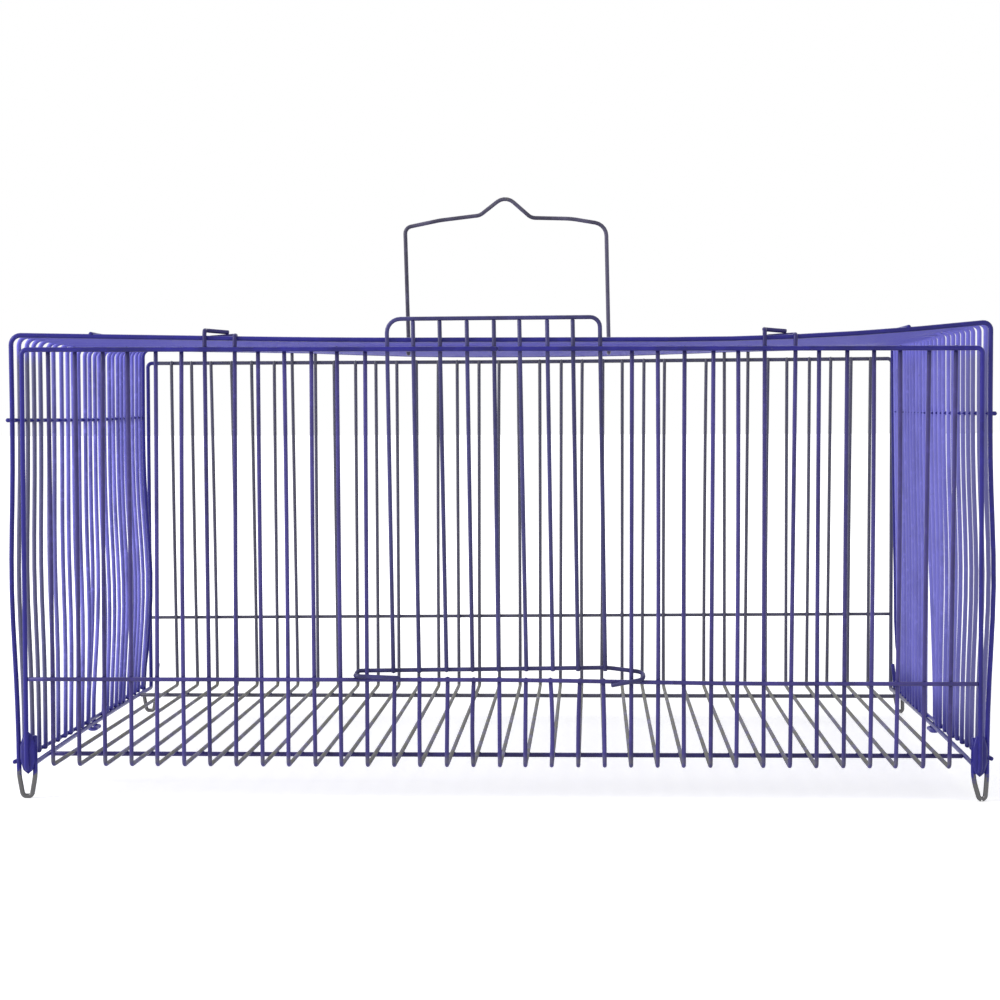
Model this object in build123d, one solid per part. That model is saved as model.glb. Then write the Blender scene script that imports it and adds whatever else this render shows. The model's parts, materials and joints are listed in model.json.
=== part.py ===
from build123d import *
from math import asin, atan2, hypot, tan
import os

# Travel cage of coated wire. A cradle of bent wires makes the front, floor and back, a cover of
# bent wires makes the left end, top and right end and carries the feet. A door slides up in the
# front, and a bail handle swings on a wire of the cover.
# Millimetres. X runs along the length, the front faces -Y, Z is up, and the feet stand on Z = 0.

# Wire
WIRE = 2.4  # cradle, cover and door
FRAME_WIRE = 2.8  # edge frames, floor runners and foot wires
HANDLE_WIRE = 2.6
WELD_GAP = 0.02  # between wires that a weld holds together
BUTT_GAP = 0.05  # between a cut end and the wire that it meets
RUNNING_GAP = 0.3  # between wires that slide or turn on each other

# Cradle
PITCH = 16.4  # from wire to wire along the length
SPACES = 36
DEPTH = 404.0  # from the front wires to the back wires
SIDE_HEIGHT = 258.0  # from the floor wires to the top rails
FRONT_RAIL_HEIGHT = 53.4  # above the floor wires
BACK_RAIL_HEIGHT = 57.0
RUNNER_INSET = 62.0  # from the front wires to the front floor runner
BACK_RUNNER_INSET = 43.0  # from the back wires to the back floor runner
GRID_BEND = 3.0
FRAME_BEND = 5.0
TIE_NUMBER = 7  # the outer wire of a tie, counted from the corner
TIE_RISE = 6.9  # of the tie's loop above the cover wires
TIE_REACH = 6.5  # of the tie's loop over the cover
TIE_BEND = 2.5

# Cover
COVER_WIRES = 26
END_GAP = 3.0  # between the cradle's corners and the cover's ends
COVER_RISE = 5.0  # of the cover wires above the top rails
LEFT_LIFT = 2.6  # of the top's left end above its level middle
LEFT_LIFT_RUN = 88.0
RIGHT_LIFT = 10.7
RIGHT_LIFT_RUN = 98.0
LIFT_SHARE = 0.85  # of the run, which the gentle bend takes up
COVER_BEND = 5.0
EDGE_HEIGHT = 3.5  # of the bottom edge wires above the floor wires
EDGE_OVERHANG = 1.5  # of the cover wires below the bottom edge wires
BRACE_DROP = 46.0  # from the cover's top to the end braces
BRACE_INSET = 50.0  # from the cover's ends to the top braces
BRACE_OVERHANG = 1.5  # of a brace past the outermost cover wires
END_TIE_REACH = 10.2  # of the middle ties under the floor

# Feet
FOOT_DROP = 20.5  # from the floor wires to the foot of the loop
FOOT_RETURN = 18.0  # of the loop's inner end above the floor wires
FOOT_BEND_SHARE = 0.49  # of the loop's width
FOOT_FLAT = 0.3  # worn off where a foot stands

# Door
DOOR_SPACES = 8
DOOR_LIFT = 6.6  # of the bottom bar above the front rail
DOOR_RISE = 19.0  # of the door's top above the top rail
DOOR_BEND = 6.0
HOOK_OVERHANG = 7.0  # of the bottom bar past the guide wires
HOOK_BEND_SHARE = 0.48  # of the hook's reach
LEFT_TAIL = 28.0
RIGHT_TAIL = 20.0
RIGHT_TAIL_FALL = 4.4

# Handle
HANDLE_WIDTH = 140.0
HANDLE_LEG = 85.5  # from the pivot wire to the shoulders
HANDLE_SLOPE = 5.0  # of the shoulders, from the legs to the peak
HANDLE_PEAK = 15.2  # above the inner ends of the shoulders
PEAK_WIDTH = 40.0
HANDLE_BEND = 7.0
PEAK_BEND = 5.0
EYE_START = 100  # degrees round the eye to its cut end

# Places worked out from the sizes above
grid_r = WIRE / 2
frame_r = FRAME_WIRE / 2
handle_r = HANDLE_WIRE / 2
weld = WIRE + WELD_GAP
frame_weld = grid_r + frame_r + WELD_GAP

floor_z = FOOT_DROP + frame_r - FOOT_FLAT
frame_floor_z = floor_z - frame_weld
foot_z = floor_z - FOOT_DROP
top_rail_z = floor_z + SIDE_HEIGHT
wire_top_z = top_rail_z + frame_r
front_rail_z = floor_z + FRONT_RAIL_HEIGHT
back_rail_z = floor_z + BACK_RAIL_HEIGHT
cover_z = top_rail_z + COVER_RISE
bar_z = front_rail_z + DOOR_LIFT
door_foot_z = bar_z - grid_r
door_top_z = top_rail_z + DOOR_RISE
edge_z = floor_z + EDGE_HEIGHT
brace_z = cover_z - BRACE_DROP

tail_y_offset = weld + grid_r + RUNNING_GAP + grid_r
front_reach = tail_y_offset + grid_r
back_reach = frame_weld + frame_r
front_y = (front_reach - DEPTH - back_reach) / 2
back_y = front_y + DEPTH
frame_front_y = front_y - frame_weld
frame_back_y = back_y + frame_weld
door_y = frame_front_y + frame_r + RUNNING_GAP + grid_r
bar_y = door_y + weld
tail_y = front_y - tail_y_offset
rail_y = front_y - weld
rail_reach = bar_y - rail_y
rest_slope = atan2(DOOR_LIFT, rail_reach) - asin((WIRE + RUNNING_GAP) / hypot(DOOR_LIFT, rail_reach))
hook_fall = (bar_y - tail_y) * tan(rest_slope)
cover_inset = door_y + grid_r + RUNNING_GAP + frame_r - front_y
cover_first_y = front_y + cover_inset
cover_last_y = back_y - cover_inset
cover_pitch = (cover_last_y - cover_first_y) / (COVER_WIRES - 1)

corner_x = SPACES * PITCH / 2
end_face_x = corner_x + frame_r + END_GAP + WIRE
end_x = end_face_x - grid_r
brace_x = end_x + weld
foot_inner_x = corner_x - frame_r - END_GAP - frame_r
middle = SPACES // 2
guide = DOOR_SPACES // 2 + 1
pivot_wire = COVER_WIRES // 2 - 1


def grid_x(index):
    """Where a cradle wire stands along the length."""
    return (index - SPACES / 2) * PITCH


def cover_y(index):
    """Where a cover wire stands along the depth."""
    return cover_first_y + index * cover_pitch


def straight_wire(start, end, diameter):
    """A cut length of wire between two points."""
    run = Vector(*end) - Vector(*start)
    rod = Cylinder(diameter / 2, run.length, align=(Align.CENTER, Align.CENTER, Align.MIN))
    return Plane(origin=start, z_dir=run) * rod


def wire_along(path, diameter):
    """A wire of round section along a path of straight runs and tangent arcs."""
    section = Plane(origin=path @ 0, z_dir=path % 0) * Circle(diameter / 2)
    return sweep(section, path=path)


def bent_wire(points, bends, diameter):
    """A wire bent at each inner point of a polyline, to the radius given there."""
    return wire_along(FilletPolyline(*points, radius=bends), diameter)


def cradle_points(x, front_top, back_top):
    """The route of a cradle wire: down the front, along the floor and up the back."""
    return [(x, front_y, front_top), (x, front_y, floor_z), (x, back_y, floor_z), (x, back_y, back_top)]


def grid_wire(x, front_top=wire_top_z):
    """A plain cradle wire."""
    return bent_wire(cradle_points(x, front_top, wire_top_z), [GRID_BEND] * 2, WIRE)


def tie_wire(index, partner):
    """A cradle wire whose two ends reach over the cover and meet those of its partner."""
    x = grid_x(index)
    meet_x = (x + grid_x(partner)) / 2
    hook_z = cover_z + TIE_RISE
    front_bar_y = front_y + TIE_REACH
    back_bar_y = back_y - TIE_REACH
    points = [(meet_x, front_bar_y, hook_z), (x, front_bar_y, hook_z)]
    points += cradle_points(x, hook_z, hook_z)
    points += [(x, back_bar_y, hook_z), (meet_x, back_bar_y, hook_z)]
    bends = [TIE_BEND] * 2 + [GRID_BEND] * 2 + [TIE_BEND] * 2
    return bent_wire(points, bends, WIRE)


def frame_wire(side):
    """Half of the cradle's edge frame, on the left for side -1 and on the right for side 1."""
    x = side * corner_x
    points = [
        (side * BUTT_GAP / 2, frame_front_y, top_rail_z),
        (x, frame_front_y, top_rail_z),
        (x, frame_front_y, frame_floor_z),
        (x, frame_back_y, frame_floor_z),
        (x, frame_back_y, top_rail_z),
        (side * BUTT_GAP / 2, frame_back_y, top_rail_z),
    ]
    return bent_wire(points, [FRAME_BEND] * 4, FRAME_WIRE)


def lift_bend(lift, run):
    """The radius that spreads the top's gentle upward bend over most of its run."""
    return LIFT_SHARE * run / tan(atan2(lift, run) / 2)


def cover_points(y, radius, left_tail, right_tail):
    """The route of a cover wire: up the left end, along the top, which lifts at both ends, and down."""
    x = end_face_x - radius
    top = cover_z + grid_r - radius
    points = left_tail + [
        (-x, y, top + LEFT_LIFT),
        (LEFT_LIFT_RUN - x, y, top),
        (x - RIGHT_LIFT_RUN, y, top),
        (x, y, top + RIGHT_LIFT),
    ]
    return points + right_tail


top_bends = [
    COVER_BEND,
    lift_bend(LEFT_LIFT, LEFT_LIFT_RUN),
    lift_bend(RIGHT_LIFT, RIGHT_LIFT_RUN),
    COVER_BEND,
]


def cover_wire(index):
    """A plain cover wire, cut off just below the bottom edge wires."""
    y = cover_y(index)
    cut_z = edge_z - grid_r - EDGE_OVERHANG
    points = cover_points(y, grid_r, [(-end_x, y, cut_z)], [(end_x, y, cut_z)])
    return bent_wire(points, top_bends, WIRE)


def end_tie_wire(index, partner):
    """A cover wire whose ends pass under the floor edges and meet those of its partner."""
    y = cover_y(index)
    meet_y = (y + cover_y(partner)) / 2
    tie_z = frame_floor_z - frame_r - RUNNING_GAP - grid_r
    inner_x = end_x - END_TIE_REACH
    left = [(-inner_x, meet_y, tie_z), (-inner_x, y, tie_z), (-end_x, y, tie_z)]
    right = [(end_x, y, tie_z), (inner_x, y, tie_z), (inner_x, meet_y, tie_z)]
    bends = [TIE_BEND] * 2 + top_bends + [TIE_BEND] * 2
    return bent_wire(cover_points(y, grid_r, left, right), bends, WIRE)


def foot_wire(y):
    """An outer cover wire whose ends turn up again as foot loops, worn flat where they stand."""
    outer_x = end_face_x - frame_r
    return_z = floor_z + FOOT_RETURN
    left = [(-foot_inner_x, y, return_z), (-foot_inner_x, y, foot_z), (-outer_x, y, foot_z)]
    right = [(outer_x, y, foot_z), (foot_inner_x, y, foot_z), (foot_inner_x, y, return_z)]
    foot_bends = [FOOT_BEND_SHARE * (outer_x - foot_inner_x)] * 2
    bends = foot_bends + top_bends + foot_bends
    wire = bent_wire(cover_points(y, frame_r, left, right), bends, FRAME_WIRE)
    ground = Box(2 * end_face_x, 2 * FRAME_WIRE, FRAME_WIRE, align=(Align.CENTER, Align.CENTER, Align.MAX))
    return wire - Pos(0, y, 0) * ground


def depth_wire(x, z):
    """A wire along the depth, welded across the outside of the cover wires."""
    start = (x, cover_first_y - BRACE_OVERHANG, z)
    end = (x, cover_last_y + BRACE_OVERHANG, z)
    return straight_wire(start, end, WIRE)


def length_wire(half_length, y, z, diameter):
    """A wire along the length, between the two sides of the cradle."""
    return straight_wire((-half_length, y, z), (half_length, y, z), diameter)


def top_lift(x):
    """How far the bent top stands above its level middle at a place along the length."""
    run, lift = (LEFT_LIFT_RUN, LEFT_LIFT) if x < 0 else (RIGHT_LIFT_RUN, RIGHT_LIFT)
    bend = lift_bend(lift, run)
    along = max(0.0, abs(x) - (end_x - run - LIFT_SHARE * run))
    return min(bend - (bend**2 - along**2) ** 0.5, lift)


def door_frame():
    """The inverted U of the door: two legs and the top bar."""
    x = DOOR_SPACES / 2 * PITCH
    points = [(-x, door_foot_z), (-x, door_top_z), (x, door_top_z), (x, door_foot_z)]
    return bent_wire([(px, door_y, pz) for px, pz in points], [DOOR_BEND] * 2, WIRE)


def door_bottom_bar():
    """The bar behind the door's wires, its ends hooked forward round the guide wires."""
    hook_x = guide * PITCH + HOOK_OVERHANG
    turn_z = bar_z - hook_fall
    points = [
        (LEFT_TAIL - hook_x, tail_y, turn_z),
        (-hook_x, tail_y, turn_z),
        (-hook_x, bar_y, bar_z),
        (hook_x, bar_y, bar_z),
        (hook_x, tail_y, turn_z),
        (hook_x - RIGHT_TAIL, tail_y, turn_z - RIGHT_TAIL_FALL),
    ]
    bend = HOOK_BEND_SHARE * hypot(bar_y - tail_y, hook_fall)
    return bent_wire(points, [bend] * 4, WIRE)


def handle():
    """The bail: two legs, sloping shoulders with a peak, and an eye round the cover wire at each leg."""
    eye_r = grid_r + RUNNING_GAP + handle_r
    pivot_y = cover_y(pivot_wire)
    leg_y = pivot_y + eye_r
    leg_x = HANDLE_WIDTH / 2
    peak_x = PEAK_WIDTH / 2
    shoulder_z = cover_z + HANDLE_LEG
    ridge_z = shoulder_z + HANDLE_SLOPE
    outline = [
        (-leg_x, cover_z),
        (-leg_x, shoulder_z),
        (-peak_x, ridge_z),
        (0, ridge_z + HANDLE_PEAK),
        (peak_x, ridge_z),
        (leg_x, shoulder_z),
        (leg_x, cover_z),
    ]
    bends = [HANDLE_BEND, PEAK_BEND, PEAK_BEND, PEAK_BEND, HANDLE_BEND]
    bail = FilletPolyline(*[(px, leg_y, pz) for px, pz in outline], radius=bends)
    eyes = []
    for x in (-leg_x, leg_x):
        plane = Plane(origin=(x, pivot_y, cover_z), x_dir=(0, 1, 0), z_dir=(1, 0, 0))
        eyes.append(Edge.make_circle(eye_r, plane, EYE_START, 360))
    path = Wire([eyes[0], *bail.edges(), eyes[1]])
    return wire_along(path, HANDLE_WIRE)


# The nodes of the assembly, each a list of separate wires
left_tie = (TIE_NUMBER, TIE_NUMBER + 1)
right_tie = (SPACES - TIE_NUMBER - 1, SPACES - TIE_NUMBER)
left_guide = middle - guide
right_guide = middle + guide
plain_left = [i for i in range(1, left_guide) if i not in left_tie]
plain_right = [i for i in range(right_guide + 1, SPACES) if i not in right_tie]
doorway = range(left_guide + 1, right_guide)
end_tie = (pivot_wire, pivot_wire + 1)
rail_half = corner_x - frame_r - BUTT_GAP

nodes = {
    "left_edge_frame": [frame_wire(-1)],
    "right_edge_frame": [frame_wire(1)],
    "left_grid_wires": [grid_wire(grid_x(i)) for i in plain_left],
    "right_grid_wires": [grid_wire(grid_x(i)) for i in plain_right],
    "doorway_grid_wires": [grid_wire(grid_x(i), front_rail_z + grid_r) for i in doorway],
    "left_guide_wire": [grid_wire(grid_x(left_guide))],
    "right_guide_wire": [grid_wire(grid_x(right_guide))],
    "left_tie_wires": [tie_wire(*left_tie), tie_wire(*left_tie[::-1])],
    "right_tie_wires": [tie_wire(*right_tie), tie_wire(*right_tie[::-1])],
    "front_rail": [length_wire(rail_half, rail_y, front_rail_z, WIRE)],
    "back_rail": [length_wire(rail_half, back_y + weld, back_rail_z, WIRE)],
    "front_floor_runner": [length_wire(rail_half, front_y + RUNNER_INSET, frame_floor_z, FRAME_WIRE)],
    "back_floor_runner": [length_wire(rail_half, back_y - BACK_RUNNER_INSET, frame_floor_z, FRAME_WIRE)],
    "front_foot_wire": [foot_wire(cover_first_y)],
    "back_foot_wire": [foot_wire(cover_last_y)],
    "front_cover_wires": [cover_wire(i) for i in range(1, end_tie[0])],
    "back_cover_wires": [cover_wire(i) for i in range(end_tie[1] + 1, COVER_WIRES - 1)],
    "middle_tie_wires": [end_tie_wire(*end_tie), end_tie_wire(*end_tie[::-1])],
    "left_bottom_edge": [depth_wire(-brace_x, edge_z)],
    "right_bottom_edge": [depth_wire(brace_x, edge_z)],
    "left_end_brace": [depth_wire(-brace_x, brace_z)],
    "right_end_brace": [depth_wire(brace_x, brace_z)],
    "door_frame": [door_frame()],
    "door_bottom_bar": [door_bottom_bar()],
    "handle": [handle()],
}

for side, name in ((-1, "left_top_brace"), (1, "right_top_brace")):
    x = side * (end_x - BRACE_INSET)
    nodes[name] = [depth_wire(x, cover_z + top_lift(x) + weld)]

bar_top_z = door_top_z - grid_r - BUTT_GAP
for number in range(1, DOOR_SPACES):
    x = (number - DOOR_SPACES / 2) * PITCH
    bar = straight_wire((x, door_y, door_foot_z), (x, door_y, bar_top_z), WIRE)
    nodes[f"door_bar_{number}"] = [bar]

os.makedirs("parts", exist_ok=True)
for name, wires in nodes.items():
    solids = [solid for wire in wires for solid in wire.solids()]
    export_step(Compound(solids), f"parts/{name}.step")
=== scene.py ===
import json
import math
import random
from functools import lru_cache

import bpy
from bpy.props import FloatProperty, FloatVectorProperty, IntProperty, PointerProperty
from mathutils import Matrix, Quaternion, Vector
from mathutils.geometry import intersect_line_line


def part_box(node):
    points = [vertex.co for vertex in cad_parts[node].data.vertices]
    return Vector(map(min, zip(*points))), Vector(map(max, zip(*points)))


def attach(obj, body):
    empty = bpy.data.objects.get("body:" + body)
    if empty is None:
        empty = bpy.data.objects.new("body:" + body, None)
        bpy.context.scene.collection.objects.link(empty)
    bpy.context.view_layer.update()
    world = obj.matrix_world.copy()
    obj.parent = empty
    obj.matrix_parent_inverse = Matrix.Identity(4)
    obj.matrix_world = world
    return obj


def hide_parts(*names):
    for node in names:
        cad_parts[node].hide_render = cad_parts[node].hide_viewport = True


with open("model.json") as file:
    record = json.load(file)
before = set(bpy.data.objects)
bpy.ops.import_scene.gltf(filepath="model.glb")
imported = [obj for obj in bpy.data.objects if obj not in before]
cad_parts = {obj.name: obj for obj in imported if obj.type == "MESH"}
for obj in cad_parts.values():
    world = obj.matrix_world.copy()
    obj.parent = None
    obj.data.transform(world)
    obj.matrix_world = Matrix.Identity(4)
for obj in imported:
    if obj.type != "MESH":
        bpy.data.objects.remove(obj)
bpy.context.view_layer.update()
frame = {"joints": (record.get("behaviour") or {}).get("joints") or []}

# Dresses a travel cage of coated wire: every bent wire gets a round section, softened cut ends and
# the small waywardness of hand-welded work, the crossings get weld fillets, and a worn blue-violet
# coat, with some light and shade painted into its colour, covers it all. Lengths are in metres, in
# the frame of the imported model. In a pair of values the first is for the left and the second for
# the right.

bl_info = {
    "name": "Travel cage",
    "version": (1, 0, 0),
    "blender": (4, 5, 0),
    "location": "View3D > Sidebar > Cage",
    "description": "Dresses a travel cage of coated wire and sets it in a plain studio",
    "category": "Object",
}

MM = 0.001
ALONG = Vector((1, 0, 0))
ACROSS = Vector((0, 1, 0))
UP = Vector((0, 0, 1))
LENGTHWISE = 0
DEPTHWISE = 1
UPRIGHT = 2

# The body that each kind of wire rides on
BODIES = {"cradle_wire": "cage", "cover_wire": "cage", "door_wire": "door", "handle_wire": "handle"}

# Counts of the cage
GRID_SPACES = 36
TIE_SPACES = 7
GUIDE_SPACES = 5
DOOR_BARS = 7
COVER_WIRES = 26
MIDDLE_WIRES = (12, 13)

# Wire and clearances
GRID_WIRE = 2.4 * MM
FRAME_WIRE = 2.8 * MM
HANDLE_WIRE = 2.6 * MM
LEAST_WIRE = 0.5 * MM
COAT = 0.12 * MM
COVER_COAT = 0.26 * MM
WELD_GAP = 0.02 * MM
BUTT_GAP = 0.05 * MM
RUNNING_GAP = 0.3 * MM
GRID_R = GRID_WIRE / 2
FRAME_R = FRAME_WIRE / 2
HANDLE_R = HANDLE_WIRE / 2
WELD = GRID_WIRE + WELD_GAP
FRAME_WELD = GRID_R + FRAME_R + WELD_GAP

# Bends; a bowed bend takes up most of the runs beside it
GRID_BEND = 3 * MM
FRAME_BEND = 3.2 * MM
TIE_BEND = 2.5 * MM
END_TIE_BEND = 2.1 * MM
COVER_BENDS = (6 * MM, 4.5 * MM)
DOOR_BENDS = (8.5 * MM, 6 * MM)
BOWED = None
BOW_SHARE = 0.8
LEAST_TURN = 1e-5

# Ties, lifts and overhangs
TIE_RISE = 6.9 * MM
TIE_REACH = 6.5 * MM
TIE_SPREAD = 1.2 * MM
TIE_FALL = 1.2 * MM
END_TIE_REACH = 4.6 * MM
LIFTS = (3.4 * MM, 10.4 * MM)
LIFT_RUNS = (200 * MM, 100 * MM)
LIFT_SHARES = (0.25, 0.95)
EDGE_INSET = 0.2 * MM
BRACE_OVERHANG = 1.5 * MM
TOP_BRACE_SINK = 1.1 * MM

# How far the two wires of a tie reach across its front loop, and how much lower they lie there
LEFT_TIE_ENDS = ((0.76, 0), (0.88, 3.2 * MM))
RIGHT_TIE_ENDS = ((0.74, 0), (0.90, 3.2 * MM))
BACK_TIE_SHARE = 0.49

# Feet
FOOT_RETURN = 18 * MM
FRONT_FOOT_WIDTHS = (10.2 * MM, 8.3 * MM)
BACK_FOOT_WIDTHS = (10.2 * MM, 6 * MM)
FOOT_TIPS = (5.6 * MM, 3.6 * MM)
FOOT_LEANS = (0, 1.4 * MM)
BACK_FOOT_OUTS = (-1.5 * MM, 5 * MM)
BACK_FOOT_RUN = 45 * MM
FOOT_TAPER = 13 * MM
FOOT_BEND = 2.6 * MM
FOOT_TAPER_BEND = 40 * MM

# Door
LEFT_TAIL = 28 * MM
LEFT_TAIL_FALL = 1.2 * MM
LEFT_TAIL_OUT = 1 * MM
LEFT_HOOK_FALL = 2.3 * MM
HOOK_FALL_RUN = 3.5 * MM
RIGHT_TAIL = 20 * MM
RIGHT_TAIL_FALL = 3.6 * MM
RIGHT_DROOP = 2.2 * MM
RIGHT_HOOK_FALL = 0.7 * MM
DROOP_RUN = 22 * MM
DROOP_BEND = 60 * MM
HOOK_OVERHANG = 7 * MM
HOOK_BEND = 3.8 * MM

# Handle
HANDLE_SPREAD = 0.6 * MM
HANDLE_SHIFT = -2.6 * MM
RIDGE_DROP = 10.4 * MM
EYE_SHIFTS = (2.2 * MM, 1.7 * MM)
EYE_START = 100
EYE_STEPS = 20

# How the cradle has settled in use
RIGHT_FOOT_IN = 1.8 * MM
RIGHT_TOP_OUT = 1.1 * MM
LEFT_FOOT_IN = 2.8 * MM
FRONT_RIM_TILT = 0.8 * MM
BACK_RIM_RISE = 0.8 * MM
RIGHT_RIM_RISE = 1.2 * MM
FRONT_RAIL_RISE = 0.5 * MM
FRONT_RAIL_FALL = 2.1 * MM
FRONT_RAIL_SLOPE = (-20 * MM, 170 * MM)
BACK_RAIL_FALL = 1.2 * MM
BACK_RAIL_TILT = 1.5 * MM
FLOOR_EDGE_BOW = 2.4 * MM
FLOOR_EDGE_ROUND = 0.6
LEFT_BACK_OUT = 3 * MM

# How the cover has settled in use; the shares keep a change near the top and near the ends
FRONT_LIFT = 0.95 * MM
FRONT_TILT = 0.85 * MM
BACK_RISE = 1.2 * MM
BACK_BOW = 2.4 * MM
BOW_REACH = 170 * MM
LEFT_SINK = 2.6 * MM
RIGHT_SINK = 0.6
EDGE_SETTLES = ((-2.2 * MM, -3.8 * MM), (1.6 * MM, -4.5 * MM))
EDGE_SAGS = (0, 1.2 * MM)
BRACE_SETTLES = (-2.2 * MM, 0.3 * MM)
TOP_SHARE = 8
END_SHARE = 3

# How far each corner of the cover has gone aside: at its foot, at its top and where it bellies out
FRONT_ASIDES = ((-0.7 * MM, -2.7 * MM, -2.5 * MM), (-0.5 * MM, 0.6 * MM, 3.2 * MM))
BACK_ASIDES = ((-2.3 * MM, -0.4 * MM, 6.0 * MM), (-2.0 * MM, -5.7 * MM, 0.5 * MM))
FRONT_BELLY = (0.42, 0.22)
BACK_BELLY = (0.3, 0.25)

# How far the middle of each end of the cover has bowed, and how much of that its foot and its ties share
END_BOWS = (5 * MM, -4.5 * MM)
FOOT_BOW_SHARES = (0.8, 0.8)
TIE_BOW_SHARES = (0.15, -0.1)
FOOT_BOW_BAND = 0.5

# How the door hangs, where the handle has pressed the top down, and how far the wires stray
DOOR_LEAN = 3 * MM
DOOR_TILT = 0.0045
BAR_TILT = 0.008
HANDLE_PRESS = 0.3 * MM
PRESS_X = 75 * MM
PRESS_RUN = 40 * MM
PRESS_MARGIN = 5 * MM
UPRIGHT_STRAY = (1.0, 0.75, 0.35, 0.35, 0.75, 1.0)
COVER_STRAY = (2.0, 1.8, 0.5, 0.5, 1.8, 2.0)
DOOR_STRAY = 0.4

# How finely the wires and welds are drawn
RUN_STEP = 20 * MM
ARC_STEP = math.radians(15)
LEAST_ARC_STEPS = 5
CUT_RINGS = ((0.0, 0.5), (0.1, 0.82), (0.34, 1.0))
FILLET_ROUND = 8
FILLET_LEVELS = 5
FILLET_DEPTH = 0.42
FILLET_PLACE = 0.5
COLLAR = (1.3 * MM, 1.75 * MM, 1.95 * MM)
COLLAR_PLACE = 0.25
CORNER_BEAD = (5.2 * MM, 1.7 * MM, 13.5 * MM)
CORNER_BEAD_RISE = 7.5 * MM
CORNER_BEAD_OUT = 1.7 * MM
CROSSING_SLACK = 0.01
WELD_REACH = 0.5 * MM
WELD_SPREAD = (0.88, 1.12)


@lru_cache(maxsize=None)
def box(node):
    """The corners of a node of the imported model."""
    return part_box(node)


def middle_of(node):
    """The middle of a node's box."""
    low, high = box(node)
    return (low + high) / 2


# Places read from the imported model
PITCH = (middle_of("right_guide_wire").x - middle_of("left_guide_wire").x) / (2 * GUIDE_SPACES)
CORNER_X = box("front_rail")[1].x + FRAME_R + BUTT_GAP
RAIL_Y = middle_of("front_rail").y
FRONT_Y = RAIL_Y + WELD
BACK_Y = middle_of("back_rail").y - WELD
FRAME_FRONT_Y = FRONT_Y - FRAME_WELD
FRAME_BACK_Y = BACK_Y + FRAME_WELD
FRAME_FLOOR_Z = middle_of("front_floor_runner").z
FLOOR_Z = FRAME_FLOOR_Z + FRAME_WELD
WIRE_TOP_Z = box("left_guide_wire")[1].z
TOP_RAIL_Z = WIRE_TOP_Z - FRAME_R
FRONT_RAIL_Z = middle_of("front_rail").z

HINGE = next(joint for joint in frame["joints"] if joint["name"] == "handle_swing")
PIVOT = Vector(HINGE["pos_m"])
COVER_Z = PIVOT.z
END_X = middle_of("right_end_brace").x - WELD
FOOT_WIRE_X = END_X + GRID_R - FRAME_R
COVER_FIRST_Y = box("right_end_brace")[0].y + BRACE_OVERHANG
COVER_LAST_Y = box("right_end_brace")[1].y - BRACE_OVERHANG
COVER_PITCH = (COVER_LAST_Y - COVER_FIRST_Y) / (COVER_WIRES - 1)
EDGE_Z = middle_of("right_bottom_edge").z
FOOT_Z = FRAME_R

DOOR_Y = middle_of("door_bar_1").y
DOOR_X = middle_of("door_bar_7").x + PITCH
DOOR_FOOT_Z = box("door_bar_1")[0].z
DOOR_TOP_Z = box("door_bar_1")[1].z + GRID_R + BUTT_GAP
BAR_Y = DOOR_Y + WELD
BAR_Z = DOOR_FOOT_Z + GRID_R
TAIL_Y = FRONT_Y - WELD - GRID_WIRE - RUNNING_GAP
HANDLE_LEG_X = box("handle")[1].x - HANDLE_R + HANDLE_SPREAD
HANDLE_TOP_Z = box("handle")[1].z - HANDLE_R

# The handle's corners from left to right: place along, height above its ridge, and bend
BAIL = (
    (-HANDLE_LEG_X, -8.3 * MM, 5 * MM),
    (-46 * MM, -3.3 * MM, 60 * MM),
    (-17.9 * MM, 0, 8 * MM),
    (0.1 * MM, 13.9 * MM, 9 * MM),
    (18.1 * MM, -2 * MM, 8 * MM),
    (46 * MM, -2.8 * MM, 60 * MM),
    (HANDLE_LEG_X, -7 * MM, 9.5 * MM),
)

# Grain of the coat: scale, detail and roughness, then the levels from where it starts to where it is full
WIRE_TONES = (90, 0, 0.5, 0.3, 0.7)
THICK_PATCHES = (24, 3, 0.5, 0.45, 0.72)
MOTTLING = (170, 4, 0.6, 0.5, 0.8)
COAT_CHIPS = (210, 3, 0.7, 0.71, 0.75)
BROKEN_FILM = (55, 5, 0.6, 0.25, 0.6)
GLOSS_CLOUDS = (130, 3, 0.5, 0.2, 0.9)
COAT_SWELL = (420, 2, 0.5)
COAT_GRIT = (1800, 3, 0.5)
RUB_GRAIN = (380, 6, 0.65)
RUB_LEVELS = (0.82, 1.02)
LYING_LEVELS = (-0.9, 0.5)

# Shares and tones of the coat
WIRE_TONE_SHARE = 0.6
DEEP_TONE = 0.5
THIN_TONE = 1.9
GRIT_SHARE = 0.35
RUB_SHARE = 0.75
GLOSS_SPREAD = 0.14
PEEL_STRENGTH = 0.3
PEEL_DEPTH = 0.15 * MM
DUST_AMOUNT = 0.95
DUST_ROUGHNESS = 0.4
CHIPPED = 0.4
WELD_CHIPPED = 0.2
UNEVEN = 0.5
COVER_UNEVEN = 0.6
HANDLE_UNEVEN = 0.7
WIRE_ACROSS_X = (1, 0.03, 0.03)
WIRE_ACROSS_Y = (0.03, 1, 0.03)
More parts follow.
